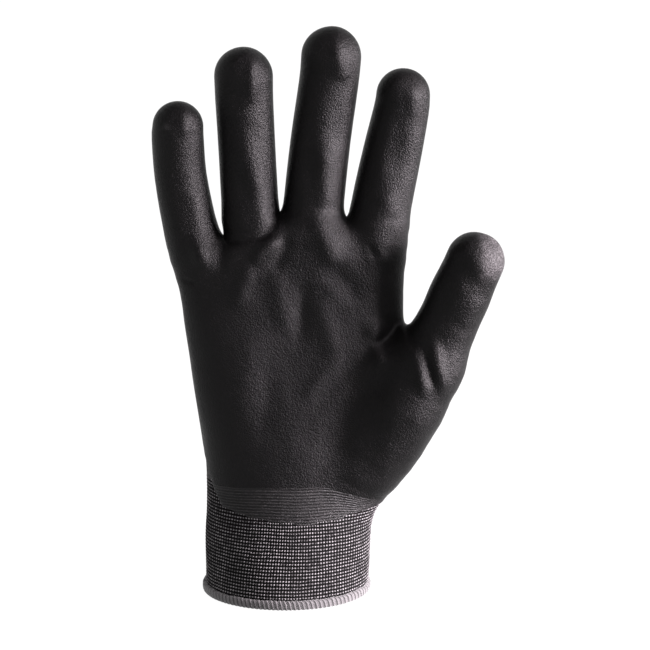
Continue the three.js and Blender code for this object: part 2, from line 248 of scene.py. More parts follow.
# %% Ridges, pads and wrinkles
# from x, z, to x, z, height, width across
RIDGES = [
    (-3, 157, -14, 147, 1.6, 2.8), (-14, 147, -21, 128, 1.1, 4.0),
    (-27, 154.5, -4, 158.8, -1.1, 1.8), (-41.5, 170, -34, 143, 3.1, 4.2),
    (-26, 153, -27, 142, -0.6, 3.0), (2, 157, -5, 143, -0.8, 3.0),
    (12, 172, 21, 145, 2.3, 5.0), (29.5, 166, 35, 148, -1.2, 4.8),
    (39, 153, 43, 146, 1.0, 2.2), (35, 155, 38, 148, -0.9, 1.5),
    (-4, 143, 0, 117, 0.75, 4.4), (14, 131, 21, 107, 0.8, 4.8),
    (18, 147, 32, 130, -1.1, 4.8), (8, 140, 6, 112, -0.8, 3.6),
    (47, 117, 27, 101, -0.9, 3.0), (33, 106, 12, 88, -0.8, 4.0),
    (24, 107, 8, 90, 0.6, 3.6), (37, 112, 41, 103, 1.2, 2.6),
    (53.6, 113, 58.5, 92, 1.1, 2.3), (61.8, 115, 67.0, 94, 1.3, 2.6),
    (58.4, 113, 62.2, 95, -1.0, 1.8), (48.5, 121, 52.5, 104, 0.7, 2.2),
    (-14, 116, -20, 80, 0.35, 5.0), (-6, 104, -10, 70, -0.5, 4.5),
    (4, 88, 2, 62, 0.25, 4.5), (28, 84, 18, 60, -0.5, 6.0),
    (-43.5, 139, -37, 137.5, -0.9, 1.1),
]
# the same, on the fingers
FINGER_RIDGES = [
    (-16, 200, -12.5, 178, 1.0, 4.0), (-12.5, 184, -8.5, 160, 1.1, 4.0),
    (-20, 190, -17, 170, -0.6, 4.0), (-13.0, 232, -13.0, 213, 1.2, 2.4),
    (-20, 226, -19, 208, -0.6, 3.6), (16.5, 196, 18, 168, 1.2, 4.2),
    (10, 205, 10, 176, -0.6, 4.0), (21.5, 240, 24, 222, 1.1, 3.0), (21, 218, 21, 194, -0.9, 4.5),
    (42, 176, 46, 166, 1.0, 4.4), (47, 208, 45, 182, -1.1, 4.5),
    (53, 221, 53, 207, 0.7, 2.8), (-41.5, 211, -41, 200, 0.8, 2.4),
    (-38, 176, -36, 160, 0.8, 3.4), (-46, 186, -44, 168, -0.5, 3.6),
    (6, 226, 28, 221, -0.18, 3.0), (-27, 204, -8, 202, -0.2, 2.6),
    (72, 152, 78, 138, -0.8, 4.0), (80, 134, 74, 122, 0.7, 3.4),
]
# centre x, z, height, width
PADS = [
    (-13, 163, 1.2, 7), (38, 158, 1.2, 8), (37.5, 118, 1.5, 4.2),
    (-24, 92, 1.7, 22), (48, 84, 2.0, 18), (6, 112, -2.0, 22), (-34, 118, 0.8, 9),
]


def ridges(x, z, lines):
    """The sum of long low hills: height * exp(-(across / width)^2), each tapered off along its
    length as exp(-(along / 0.46)^4)."""
    total = np.zeros(len(x))
    for x0, z0, x1, z1, height, width in lines:
        dx, dz = x1 - x0, z1 - z0
        length = math.hypot(dx, dz)
        along = ((x - x0) * dx + (z - z0) * dz) / length**2 - 0.5
        across = ((x - x0) * dz - (z - z0) * dx) / length
        total += height * np.exp(-((along / 0.46) ** 4) - (across / width) ** 2)
    return total


def palm_relief(p):
    """Ridges, round pads and a slow wave, in front and above the wrist only."""
    x, z = p[:, 0], p[:, 2]
    total = ridges(x, z, RIDGES)
    for x0, z0, height, width in PADS:
        total += height * np.exp(-(((x - x0) ** 2 + (z - z0) ** 2) / width**2))
    total += 0.3 * np.sin(x / 9 + z / 17) * np.sin(z / 13 - x / 21 + 1)
    in_front = 1 / (1 + np.exp((p[:, 1] + 2) / 2.0))
    return total * in_front * np.clip((z - 50) / 12, 0, 1)


def finger_relief(p):
    """The fingers' ridges and a few faint lumps, in front only."""
    x, z = p[:, 0], p[:, 2]
    total = ridges(x, z, FINGER_RIDGES)
    total += 0.2 * np.sin(x / 3.1 + z / 7.1) * np.sin(z / 5.3 - x / 5.2)
    return total / (1 + np.exp((p[:, 1] + 7) / 1.5))


def glove_field(p):
    """Palm, ball of the thumb and thumb web joined with wide fillets; then each finger joined to
    that hand, but not to its neighbours, with a narrow one; less the relief."""
    on_finger = finger_relief(p)
    thumb = tube_field(p, TUBES["thumb"])[0] - on_finger
    web = tube_field(p, np.array(WEB_PATH))[0]
    hand = rounded_min(rounded_min(palm_field(p), thumb, 11.0), web, 7.0)
    hand = hand - palm_relief(p)
    whole = hand
    for name in STALL_PATHS:
        stall = tube_field(p, TUBES[name], FINGER_DEPTH)[0] - on_finger
        whole = np.minimum(whole, rounded_min(hand, stall, ROOT_FILLET[name]))
    return whole


def outward(p, step=0.05):
    """The field's slope by central differences: it points straight out of the surface."""
    slope = np.empty_like(p)
    for axis in range(3):
        shift = np.zeros(3)
        shift[axis] = step
        slope[:, axis] = (glove_field(p + shift) - glove_field(p - shift)) / (2 * step)
    return slope


# %% [markdown]
# ## From field to mesh
#
# A *surface net* turns a field into quads. Space is cut into small cubes. Wherever an edge of the
# grid crosses the surface, the four cubes round that edge each give one corner of a quad, and a
# cube's corner sits at the average of its crossings. The corners then slide along the slope until
# the field is zero, which makes the mesh as smooth as the field itself.

# %% Surface net
NET_STEP = 1.2
NET_LOW = np.array([-60.0, -42.0, 36.0])
NET_HIGH = np.array([98.0, 27.0, 250.0])


def surface_net(low, high, step):
    """Corners and quads of the field's zero surface in a box."""
    axes = [np.arange(low[i], high[i], step) for i in range(3)]
    shape = tuple(len(a) for a in axes)
    grid = np.stack(np.meshgrid(*axes, indexing="ij"), -1).reshape(-1, 3)
    value = np.concatenate([glove_field(part) for part in np.array_split(grid, 12)])
    value = value.reshape(shape)
    cells = np.array(shape) - 1
    total, count, quads = np.zeros((cells.prod(), 3)), np.zeros(cells.prod()), []
    for axis in range(3):
        before = np.moveaxis(np.moveaxis(value, axis, 0)[:-1], 0, axis)
        after = np.moveaxis(np.moveaxis(value, axis, 0)[1:], 0, axis)
        ijk = np.argwhere((before < 0) != (after < 0))
        inner = np.delete(ijk, axis, 1)
        limit = np.delete(cells, axis)
        ijk = ijk[np.all((inner > 0) & (inner < limit), axis=1)]
        a, b = before[tuple(ijk.T)], after[tuple(ijk.T)]
        crossing = ijk.astype(float)
        crossing[:, axis] += a / (a - b)
        corners = []
        for du, dv in ((0, 0), (-1, 0), (-1, -1), (0, -1)):
            cell = ijk.copy()
            cell[:, (axis + 1) % 3] += du
            cell[:, (axis + 2) % 3] += dv
            flat = np.ravel_multi_index(cell.T, cells)
            for k in range(3):
                total[:, k] += np.bincount(flat, crossing[:, k], len(total))
            count += np.bincount(flat, minlength=len(count))
            corners.append(flat)
        quad = np.stack(corners, 1)
        quads.append(np.where((a < 0)[:, None], quad, quad[:, ::-1]))
    quads = np.concatenate(quads)
    used, quads = np.unique(quads, return_inverse=True)
    points = low + step * total[used] / count[used, None]
    return points, quads.reshape(-1, 4)


def halves(quads):
    """Each quad as two triangles."""
    return np.concatenate([quads[:, [0, 1, 2]], quads[:, [0, 2, 3]]])


def unit(vectors):
    return vectors / np.linalg.norm(vectors, axis=1)[:, None]


def settle(p, rounds=3):
    """Newton's step, p - f(p) g / |g|^2 with g the slope, a few times."""
    for _ in range(rounds):
        g = outward(p)
        square = np.maximum(np.einsum("ij,ij->i", g, g), 0.05)
        p = p - (np.clip(glove_field(p), -2, 2) / square)[:, None] * g
    return p


net_points, net_quads = surface_net(NET_LOW, NET_HIGH, NET_STEP)
net_points = settle(net_points)
net_triangles = halves(net_quads)
print(len(net_points), "corners,", len(net_triangles), "triangles; the worst is",
      round(float(np.abs(glove_field(net_points)).max()), 3), "mm off the surface")

# %% [markdown]
# ## Cutting and thickening
#
# Two tools make every piece of the hand from that one mesh. The first keeps the part of a mesh
# where some value is positive, and cuts the triangles that the line crosses. Two pieces cut with
# opposite signs of the same value share their edge exactly, so no seam shows between them. The
# second gives an open sheet its wall: an outer and an inner copy, joined round the rim.


# %% Keep one side of a line
def turned(triangles, first):
    """The same triangles, with the corner named by first in front."""
    return np.take_along_axis(triangles, (first[:, None] + [0, 1, 2]) % 3, 1)


def keep(points, triangles, value):
    """The part where value > 0. On a triangle's edge the cut is where the value, read as a
    straight line between its ends, is zero."""
    inside = value > 0
    n = inside[triangles].sum(1)
    one, two = triangles[n == 1], triangles[n == 2]
    one = turned(one, inside[one].argmax(1))
    two = turned(two, inside[two].argmin(1))
    cuts = np.concatenate([one[:, [0, 1]], one[:, [0, 2]], two[:, [0, 1]], two[:, [0, 2]]])
    edges, which = np.unique(np.sort(cuts, 1), axis=0, return_inverse=True)
    which = which.reshape(-1) + len(points)
    a, b = edges.T
    t = value[a] / (value[a] - value[b])
    new = points[a] + t[:, None] * (points[b] - points[a])
    p, q, r, s = np.split(which, np.cumsum([len(one), len(one), len(two)]))
    made = np.concatenate([
        triangles[n == 3],
        np.stack([one[:, 0], p, q], 1),
        np.stack([r, two[:, 1], two[:, 2]], 1),
        np.stack([r, two[:, 2], s], 1),
    ])
    used, made = np.unique(made, return_inverse=True)
    return np.vstack([points, new])[used], made.reshape(-1, 3)


def rim_edges(triangles):
    """The edges that only one triangle has, in that triangle's direction."""
    edges = np.concatenate([triangles[:, [0, 1]], triangles[:, [1, 2]], triangles[:, [2, 0]]])
    size = int(edges.max()) + 1
    forward, backward = edges @ [size, 1], edges @ [1, size]
    return edges[~np.isin(forward, backward)]


def walled(points, triangles, normal, inner, outer):
    """A closed shell: the sheet moved out and in along its normal, and a band round the rim."""
    outside = points + normal * np.reshape(outer, (-1, 1))
    inside = points + normal * np.reshape(inner, (-1, 1))
    n = len(points)
    a, b = rim_edges(triangles).T
    faces = np.concatenate([
        triangles,
        triangles[:, ::-1] + n,
        np.stack([b, a, a + n], 1),
        np.stack([b, a + n, b + n], 1),
    ])
    return np.vstack([outside, inside]), faces


# %% Put a mesh into Blender
def add_mesh(name, points, faces, finish, normals=None, uv=None, marks=None):
    """One mesh object from millimetre points. uv is one pair per point; marks are named numbers,
    one per point, that a finish can read."""
    mesh = bpy.data.meshes.new(name)
    faces = np.asarray(faces)
    sides = faces.shape[1]
    mesh.vertices.add(len(points))
    mesh.vertices.foreach_set("co", (np.asarray(points) * MM).astype(np.float32).ravel())
    mesh.loops.add(faces.size)
    mesh.loops.foreach_set("vertex_index", faces.astype(np.int32).ravel())
    mesh.polygons.add(len(faces))
    mesh.polygons.foreach_set("loop_start", np.arange(0, faces.size, sides, dtype=np.int32))
    mesh.update(calc_edges=True)
    mesh.validate()
    mesh.polygons.foreach_set("use_smooth", np.ones(len(mesh.polygons), bool))
    if uv is not None:
        layer = mesh.uv_layers.new(name="stitches")
        layer.data.foreach_set("uv", uv[faces.ravel()].astype(np.float32).ravel())
    for mark, numbers in (marks or {}).items():
        attribute = mesh.attributes.new(mark, "FLOAT", "POINT")
        attribute.data.foreach_set("value", np.asarray(numbers, np.float32))
    if normals is not None:
        mesh.normals_split_custom_set_from_vertices(normals.astype(np.float32))
    obj = bpy.data.objects.new(name, mesh)
    bpy.context.scene.collection.objects.link(obj)
    mesh.materials.append(finish)
    print(f"{name}: {len(points)} points, {len(mesh.polygons)} faces")
    return obj


# %% [markdown]
# ## Shader maths as Python
#
# A finish is a formula: so much black, a little grey where the grain is high. This small class
# lets it be written as one. It wraps a socket, and each operator adds the Math node it stands for.


# %% A socket that can be added and multiplied
class Wire:
    """A socket's value in a shader formula."""

    def __init__(self, paint, socket):
        self.paint, self.socket = paint, socket

    def _math(self, operation, *values):
        return self.paint.node("ShaderNodeMath", {"operation": operation}, dict(enumerate(values)))

    def __add__(self, other):
        return self._math("ADD", self, other)

    def __radd__(self, other):
        return self._math("ADD", other, self)

    def __sub__(self, other):
        return self._math("SUBTRACT", self, other)

    def __rsub__(self, other):
        return self._math("SUBTRACT", other, self)

    def __mul__(self, other):
        return self._math("MULTIPLY", self, other)

    def power(self, other):
        return self._math("POWER", self, other)

    def size(self):
        return self._math("ABSOLUTE", self)

    def fraction(self):
        return self._math("FRACT", self)

    def cosine(self):
        return self._math("COSINE", self)

    def larger(self, other):
        return self._math("MAXIMUM", self, other)

    def ramp(self, low, high, to_low=0.0, to_high=1.0):
        """Smoothly from to_low at low to to_high at high."""
        return self.paint.node(
            "ShaderNodeMapRange",
            {"interpolation_type": "SMOOTHSTEP"},
            {0: self, 1: low, 2: high, 3: to_low, 4: to_high},
        )


class Paint:
    """A material under construction, with one method for every node."""

    def __init__(self, name):
        self.material = bpy.data.materials.new(name)
        self.material.use_nodes = True
        self.tree = self.material.node_tree
        self.shader = self.tree.nodes["Principled BSDF"]

    def node(self, kind, settings=None, inputs=None, output=0):
        """Adds a node: its settings first, then its sockets' values or links."""
        made = self.tree.nodes.new(kind)
        for key, value in (settings or {}).items():
            setattr(made, key, value)
        self.fill(made, inputs or {})
        return Wire(self, made.outputs[output])

    def fill(self, made, inputs):
        for key, value in inputs.items():
            socket = made.inputs[key]
            if isinstance(value, Wire):
                self.tree.links.new(value.socket, socket)
            else:
                socket.default_value = value

    def place(self):
        return self.node("ShaderNodeTexCoord", output="Object")

    def apart(self, vector):
        """The first two parts of a vector, as two wires."""
        first = self.node("ShaderNodeSeparateXYZ", None, {0: vector})
        return first, Wire(self, first.socket.node.outputs[1])

    def stitches(self):
        """The two stitch coordinates, columns and rows."""
        return self.apart(self.node("ShaderNodeUVMap", {"uv_map": "stitches"}))

    def mark(self, name):
        return self.node("ShaderNodeAttribute", {"attribute_name": name}, output="Fac")

    def noise(self, scale, detail=2.0, where=None, roughness=0.5):
        inputs = {"Scale": scale, "Detail": detail, "Roughness": roughness}
        inputs["Vector"] = where or self.place()
        return self.node("ShaderNodeTexNoise", None, inputs)

    def cells(self, scale):
        inputs = {"Vector": self.place(), "Scale": scale, "Smoothness": 0.6}
        return self.node("ShaderNodeTexVoronoi", {"feature": "SMOOTH_F1"}, inputs, "Distance")

    def mix(self, share, first, second):
        """A colour that goes from the first to the second."""
        made = self.tree.nodes.new("ShaderNodeMix")
        made.data_type = "RGBA"
        self.fill(made, {0: share, 6: first, 7: second})
        return Wire(self, made.outputs[2])

    def bump(self, height, distance, strength=1.0):
        inputs = {"Height": height, "Distance": distance, "Strength": strength}
        return self.node("ShaderNodeBump", None, inputs)

    def finish(self, **inputs):
        """Sets the shader's own sockets and hands back the material."""
        self.fill(self.shader, {key.replace("_", " "): value for key, value in inputs.items()})
        return self.material


def grey(value, warm=0.0):
    """A grey, pulled a little towards red-violet by warm."""
    return (value * (1 + warm), value, value * (1 + 0.6 * warm), 1.0)


# %% [markdown]
# ## The foam skin
#
# Foamed nitrile is full of tiny bubbles. They break at the surface and leave it like very fine
# leather: black, with a soft sheen that falls apart into grains of light. So the finish has two
# sizes of grain in its bump, a roughness that drifts in patches, and a colour that is a shade
# lighter on the grains' tops. A mark paints the tops grey on the outer half of the thumb's tip, on
# one spot of the little finger and on the crests of the band's lines: partly wear, partly a
# painted highlight.


# %% Foam nitrile
def foam_finish(name, shine, gloss):
    paint = Paint(name)
    pores = paint.cells(2300.0)
    grain = paint.noise(1500.0, 3.0, roughness=0.62)
    patches = paint.noise(60.0, 3.0)
    clouds = paint.noise(230.0, 2.0)
    wear_and_highlight = paint.mark("wear_and_highlight")
    height = grain + (1 - pores) * 0.25 + clouds * 0.5
    tops = (grain + (1 - pores) * 0.2).ramp(0.50, 0.86)
    share = tops * (0.35 + patches * 0.4)
    colour = paint.mix(share, grey(0.0004, 0.12), grey(0.004, 0.14))
    # grey over the marked places, most on the grain's tops: partly wear, partly a painted
    # highlight
    wear_and_highlight_colour = paint.mix(wear_and_highlight * (tops * 0.8 + 0.2), colour, grey(0.062, 0.04))
    rough = patches.ramp(0.3, 0.7, gloss, gloss + 0.05) + (grain - 0.5) * 0.14 + wear_and_highlight * 0.15
    return paint.finish(
        Base_Color=wear_and_highlight_colour,
        Roughness=rough,
        Normal=paint.bump(height, 0.00040, 1.0),
        Specular_IOR_Level=shine,
    )


foam_skin = foam_finish("foam_nitrile", shine=0.095, gloss=0.36)
ribbed_skin = foam_finish("foam_nitrile_over_ribs", shine=0.16, gloss=0.36)

# %% [markdown]
# ## The plain knit
#
# The back of the hand is bare knit. In plain knitting each stitch shows as a small V, and the
# V's stand in columns. One V is two slanted legs, so its height is a wave that climbs away from
# the column's middle on both sides, times a hump across each leg. The yarn is black with grey
# fibres of cut-resistant filament in it, which gives the dark, slightly mottled marl.


# %% Plain knit
def knit_finish():
    paint = Paint("plain_knit")
    column, row = paint.stitches()
    across = (column.fraction() - 0.5).size()
    leg = 1 - ((across - 0.25) * 4).power(2)
    wave = ((row + across * 1.1) * (2 * math.pi)).cosine() * 0.5 + 0.5
    loops = leg.larger(0.0) * (wave * 0.8 + 0.2)
    fibres = paint.noise(5200.0, 2.0)
    marl = paint.noise(900.0, 4.0, roughness=0.7)
    fleck = (marl + fibres * 0.3).ramp(0.62, 0.86)
    # the yarn is lighter on the loops and nearly black in the gaps between them: painted shade in
    # the gaps
    dark = paint.mix(loops, grey(0.0012), grey(0.009, 0.04))
    colour = paint.mix(fleck * loops * 0.8, dark, grey(0.08, 0.03))
    return paint.finish(
        Base_Color=colour,
        Roughness=0.92 - fibres * 0.1,
        Normal=paint.bump(loops + fibres * 0.16, 0.0006, 0.85),
        Sheen_Weight=0.08,
        Sheen_Roughness=0.5,
        Specular_IOR_Level=0.3,
    )


plain_knit = knit_finish()

# %% [markdown]
# ## Where the dip stops
#
# The former goes into the nitrile palm first, so the film covers the front, wraps a little way
# round the sides and goes all round the fingertips. The line is a *mark* on each point of the
# surface: millimetres inside the film, negative where the knit is bare. Each stall and the palm
# has its own rule, and near a join the rules are averaged by how close the point is to each form.
# A slow wave keeps the line from looking ruled.

# %% The dip line
COVER_FROM_END = 2.5  # the tip is covered all round from this far short of the path's end
FINGER_SIDE, THUMB_SIDE = 0.34, 0.62  # how far to the back the film reaches, in radii
THUMB_BACK = np.array([0.55, 0.83, -0.05])
SIDE_Z = [36, 46, 52, 62, 80, 130, 170]
LEFT_SIDE = [-12.0, -11.0, -9.0, -3.0, 3.5, 4.0, 3.0]
RIGHT_SIDE = [1.0, 2.0, 2.5, 3.0, 3.5, 4.0, 3.0]


def side_line(p):
    """How far to the back the palm's film wraps: less low down on the little-finger side."""
    left, right = np.interp(p[:, 2], SIDE_Z, LEFT_SIDE), np.interp(p[:, 2], SIDE_Z, RIGHT_SIDE)
    return left + (right - left) * np.clip(p[:, 0] / 16 + 0.5, 0, 1)


# the line on the palm below which the film is thin and shows the rib: x, and height there
STEP_X = [-40, -30, -10, 14, 20, 27, 34, 40, 46]
STEP_Z = [50.4, 50.6, 51.6, 52.2, 51.4, 49.2, 46.6, 44.2, 43.0]


def above_step(p):
    return p[:, 2] - np.interp(p[:, 0], STEP_X, STEP_Z)


def dip_mark(p):
    """For a stall: a share of the radius minus the offset to the back, or the length past the
    point where the fingertip is covered all round, whichever is larger. For the palm: the line's
    own place front to back at that height, minus the point's."""
    rules, closeness = [], []
    rules.append(side_line(p) - p[:, 1])
    closeness.append(palm_field(p))
    for name, tube in TUBES.items():
        thumb = name == "thumb"
        distance, along, back, radius = tube_field(p, tube, 1.0 if thumb else FINGER_DEPTH)
        total = np.sqrt((np.diff(tube[:, :3], axis=0) ** 2).sum(1)).sum()
        if thumb:
            level = np.abs(p[:, None, 2] - tube[None, :, 2]).argmin(1)
            back = (p - tube[level, :3]) @ THUMB_BACK
        side = (THUMB_SIDE if thumb else FINGER_SIDE) * radius - back
        rules.append(np.maximum(side, along - (total - COVER_FROM_END)))
        closeness.append(distance)
    closeness = np.stack(closeness)
    weight = np.exp(-(closeness - closeness.min(0)) / 2.5)
    mark = (weight * np.stack(rules)).sum(0) / weight.sum(0)
    wave = 0.9 * np.sin(p[:, 2] / 6.3 + p[:, 0] / 11) + 0.6 * np.sin(p[:, 2] / 2.9 - p[:, 0] / 5)
    return mark + 0.7 * wave


# %% [markdown]
# ## The hand in pieces
#
# Blender has to bend the glove at fourteen folds, and a sheet can bend across only one of them.
# So each stall is cut half-way between two folds, where neither piece bends, and each piece
# carries one fold in its middle. The palm is cut from the stalls just above the webs.

# %% Where the stalls are cut
Z_CUFF = 52.0
FINGER_NAMES = ["little", "ring", "middle", "index", "thumb"]
KNUCKLES = {"little": 5.4, "ring": 6.0, "middle": 6.0, "index": 5.2, "thumb": 5.0}


def fold_points(finger):
    """The folds of one stall from palm to tip, on the stall's own centre line, and the stall's
    direction there."""
    tube = FINE_TUBES[finger]
    found = []
    for part in ("base", "middle", "tip"):
        hinge = HINGES.get(f"{finger}_{part}")
        if hinge is None:
            continue
        k = int(np.abs(tube[:, 2] - hinge["at"][2]).argmin())
        k = min(max(k, 2), len(tube) - 3)
        way = tube[k + 2, :3] - tube[k - 2, :3]
        found.append((f"{finger}_{part}", tube[k, :3], way / np.linalg.norm(way)))
    return found


def stall_cuts(finger):
    """Cut planes as (point, direction): the first below the knuckle, then midway between folds."""
    folds = fold_points(finger)
    first = folds[0][1] - folds[0][2] * KNUCKLES[finger]
    cuts = [(first, folds[0][2])]
    for (_, p, d), (_, q, e) in zip(folds, folds[1:]):
        way = (d + e) / np.linalg.norm(d + e)
        cuts.append(((p + q) / 2, way))
    return cuts


def past(p, cut):
    return (p - cut[0]) @ cut[1]


def stall_distances(p):
    return np.stack([tube_field(p, TUBES[name], reach=60.0)[0] for name in FINGER_NAMES])


def nearest_stall(p):
    """For each stall, how much closer its path is than every other stall's."""
    fields = stall_distances(p)
    out = {}
    for k, name in enumerate(FINGER_NAMES):
        others = np.delete(fields, k, 0).min(0)
        out[name] = others - fields[k]
    return out


points, triangles = net_points, net_triangles
sheets = {}
for finger in FINGER_NAMES:
    cuts = stall_cuts(finger)
    own = np.minimum(past(points, cuts[0]), nearest_stall(points)[finger])
    stall = keep(points, triangles, own)
    points, triangles = keep(points, triangles, -own)
    for k, (body, _, _) in enumerate(fold_points(finger)):
        piece = stall
        if k + 1 < len(cuts):
            piece = keep(*stall, -past(stall[0], cuts[k + 1]))
            stall = keep(*stall, past(stall[0], cuts[k + 1]))
        sheets[body] = piece
sheets["hand"] = (points, triangles)
print({name: len(sheet[1]) for name, sheet in sheets.items()})

# %% [markdown]
# The palm piece rides on the hand. For a stall piece the span of its bend is worked out, a
# length on both sides of the hinge, so that the skin would turn a round corner; but the piece is
# only baked in place, follows no body and doesn't bend.


# %% Ride, or stay in place
BEND_HALF = {"base": (4.6, 9.0), "middle": (8.5, 8.5), "tip": (7.5, 7.5)}


def attach(obj, body):
    """The palm rides on the hand. A stall piece is baked in place; its bend's ends go unused."""
    if body == "hand":
        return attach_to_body(obj, "hand")
    finger, part = body.split("_")
    hinge = HINGES[body]
    fold = next(f for f in fold_points(finger) if f[0] == body)
    before, after = BEND_HALF[part]
    start = (hinge["at"] - fold[2] * before) * MM
    end = (hinge["at"] + fold[2] * after) * MM
    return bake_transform(obj)


STITCH_WIDE, STITCH_HIGH = 1.45, 1.15
# the height above which a stitch belongs to a stall and not to the palm
STALL_STARTS = {"little": 157, "ring": 166, "middle": 166, "index": 164, "thumb": 112}


def stitch_uv(p):
    """Stitch columns and rows. A row is a step of height, and a column is a step across, counted
    from the palm's middle or from the nearest stall's path."""
    centre = np.stack([axis_x(p[:, 2]), np.zeros(len(p)), p[:, 2]], 1)
    best = stall_distances(p).argmin(0)
    for k, name in enumerate(FINGER_NAMES):
        tube = FINE_TUBES[name]
        own = (best == k) & (p[:, 2] > STALL_STARTS[name])
        level = [np.interp(p[own, 2], tube[:, 2], tube[:, i]) for i in range(3)]
        centre[own] = np.stack(level, 1)
    offset = p - centre
    return np.stack([offset[:, 0] / STITCH_WIDE, p[:, 2] / STITCH_HIGH], 1)


KNIT_WALL = 0.9
FILM, FILM_EDGE, FILM_TAPER = 0.65, 0.08, 1.6  # thickness, thickness at its edge, width of taper
FILM_GAP = 0.03  # the film's inner face stands this far off the knit


def wear_and_highlight_mark(p):
    """How much grey is painted on the skin, partly as wear and partly as a painted highlight: the
    outer half of the thumb's tip, and one spot on the little one.
    """
    x, z = p[:, 0], p[:, 2]
    ragged = 0.5 * np.sin(x * 1.3 + z * 0.9) + 0.5 * np.sin(z * 1.7 - x * 0.6)
    patch = 1 / (1 + np.exp(-(x - 81.0 + 0.5 * ragged) / 0.45))
    high = 1 / (1 + np.exp(-(z - 143.0 + 0.9 * ragged) / 0.9))
    spot = np.exp(-(((x + 48.6) / 1.2) ** 2 + ((z - 203.6) / 0.8) ** 2)) * (p[:, 1] < 0)
    return np.clip(patch * high * (0.85 + 0.2 * ragged) + spot * 0.7, 0, 1)


for body, (points, triangles) in sheets.items():
    label = "palm" if body == "hand" else body
    knit, knit_faces = points, triangles
    if body == "hand":
        knit, knit_faces = keep(points, triangles, points[:, 2] - Z_CUFF)
        points, triangles = keep(points, triangles, above_step(points))
    normal = unit(outward(knit))
    shell, faces = walled(knit, knit_faces, normal, -KNIT_WALL, 0.0)
    liner = add_mesh(
        f"knit_{label}", shell, faces, plain_knit, np.vstack([normal, -normal]),
        uv=np.tile(stitch_uv(knit), (2, 1)),
    )
    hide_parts(f"liner_{label}")
    attach(liner, body)
    depth = dip_mark(points)
    film, film_faces = keep(points, triangles, depth)
    depth = dip_mark(film)
    normal = unit(outward(film))
    thick = FILM_EDGE + (FILM - FILM_EDGE) * np.clip(depth / FILM_TAPER, 0, 1) ** 0.6
    shell, faces = walled(film, film_faces, normal, FILM_GAP, thick)
    # the mark paints grey on the thumb's tip and one spot of the little finger: partly wear,
    # partly a painted highlight
    skin = add_mesh(
        f"film_{label}", shell, faces, foam_skin, np.vstack([normal, -normal]),
        marks={"wear_and_highlight": np.tile(wear_and_highlight_mark(film), 2)},
    )
    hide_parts(f"coating_{label}")
    attach(skin, body)
print(len(sheets) * 2, "pieces on the hand")

# %% [markdown]
# ## The cuff
#
# The cuff is a rib with an elastic yarn in it. Its face is a square grid: about 146 columns of
# stitches round the wrist, a course every millimetre and a half, and in each stitch a small grey
# float of the elastic's cover yarn. It is a grid of two parameters, the angle round the wrist and
# the height. Along each ray from the wrist's axis the former's field is solved for the radius,
# and the stitch relief is added to it.

# %% Radius of the former along a ray
WALES = 146
COURSE = 1.45


def wrist_radius(angle, z):
    """The distance to the former along a level ray from the wrist's axis, by Newton's method."""
    ray = np.stack([np.cos(angle), np.sin(angle), np.zeros_like(angle)], -1).reshape(-1, 3)
    centre = np.stack([axis_x(z), np.zeros_like(z), z], -1).reshape(-1, 3)
    r = np.full(len(ray), 30.0)
    for _ in range(7):
        here = glove_field(centre + r[:, None] * ray)
        there = glove_field(centre + (r + 0.1)[:, None] * ray)
        r -= np.clip(here / np.maximum((there - here) / 0.1, 0.3), -4, 4)
    return r


# the radius changes slowly, so it is solved on a coarse grid and read off between its points
WRIST_LOW, WRIST_HIGH, TURN_STEPS = -3, 58, 180
ANGLES = np.linspace(-math.pi, math.pi, TURN_STEPS + 1)
HEIGHTS = np.linspace(WRIST_LOW, WRIST_HIGH, WRIST_HIGH - WRIST_LOW + 1)
angle_grid, height_grid = np.meshgrid(ANGLES, HEIGHTS)
WRIST = wrist_radius(angle_grid.ravel(), height_grid.ravel()).reshape(angle_grid.shape)


def wrist_point(angle, z, out=0.0):
    """A point on the wrist: its axis, plus the former's radius and out along the ray."""
    angle = (angle + math.pi) % (2 * math.pi) - math.pi
    i = np.clip(z - WRIST_LOW, 0, WRIST_HIGH - WRIST_LOW - 0.001)
    j = np.clip((angle + math.pi) / (2 * math.pi) * TURN_STEPS, 0, TURN_STEPS - 0.001)
    i0, j0 = i.astype(int), j.astype(int)
    fi, fj = i - i0, j - j0
    r = (
        WRIST[i0, j0] * (1 - fi) * (1 - fj) + WRIST[i0 + 1, j0] * fi * (1 - fj)
        + WRIST[i0, j0 + 1] * (1 - fi) * fj + WRIST[i0 + 1, j0 + 1] * fi * fj
    )
    reach = r + out
    return np.stack([axis_x(z) + reach * np.cos(angle), reach * np.sin(angle), z], -1)


print("wrist radius, mm:", round(float(WRIST.min()), 1), "to", round(float(WRIST.max()), 1))


# %% Grids to faces
def ring_faces(rows, columns, close_rows=True):
    """Quads of a grid that is closed round its columns, and round its rows too if asked."""
    i = np.arange(rows if close_rows else rows - 1)[:, None]
    j = np.arange(columns)[None, :]
    a = i * columns + j
    b = i * columns + (j + 1) % columns
    up = (i + 1) % rows
    return np.stack([a, b, up * columns + (j + 1) % columns, up * columns + j], -1).reshape(-1, 4)


# %% [markdown]
# The dots are geometry as well as colour: each stitch is a low rounded bead, and between the
# columns runs a groove. The wall is a closed loop in height, up the outside and down the inside,
# carried round the wrist.


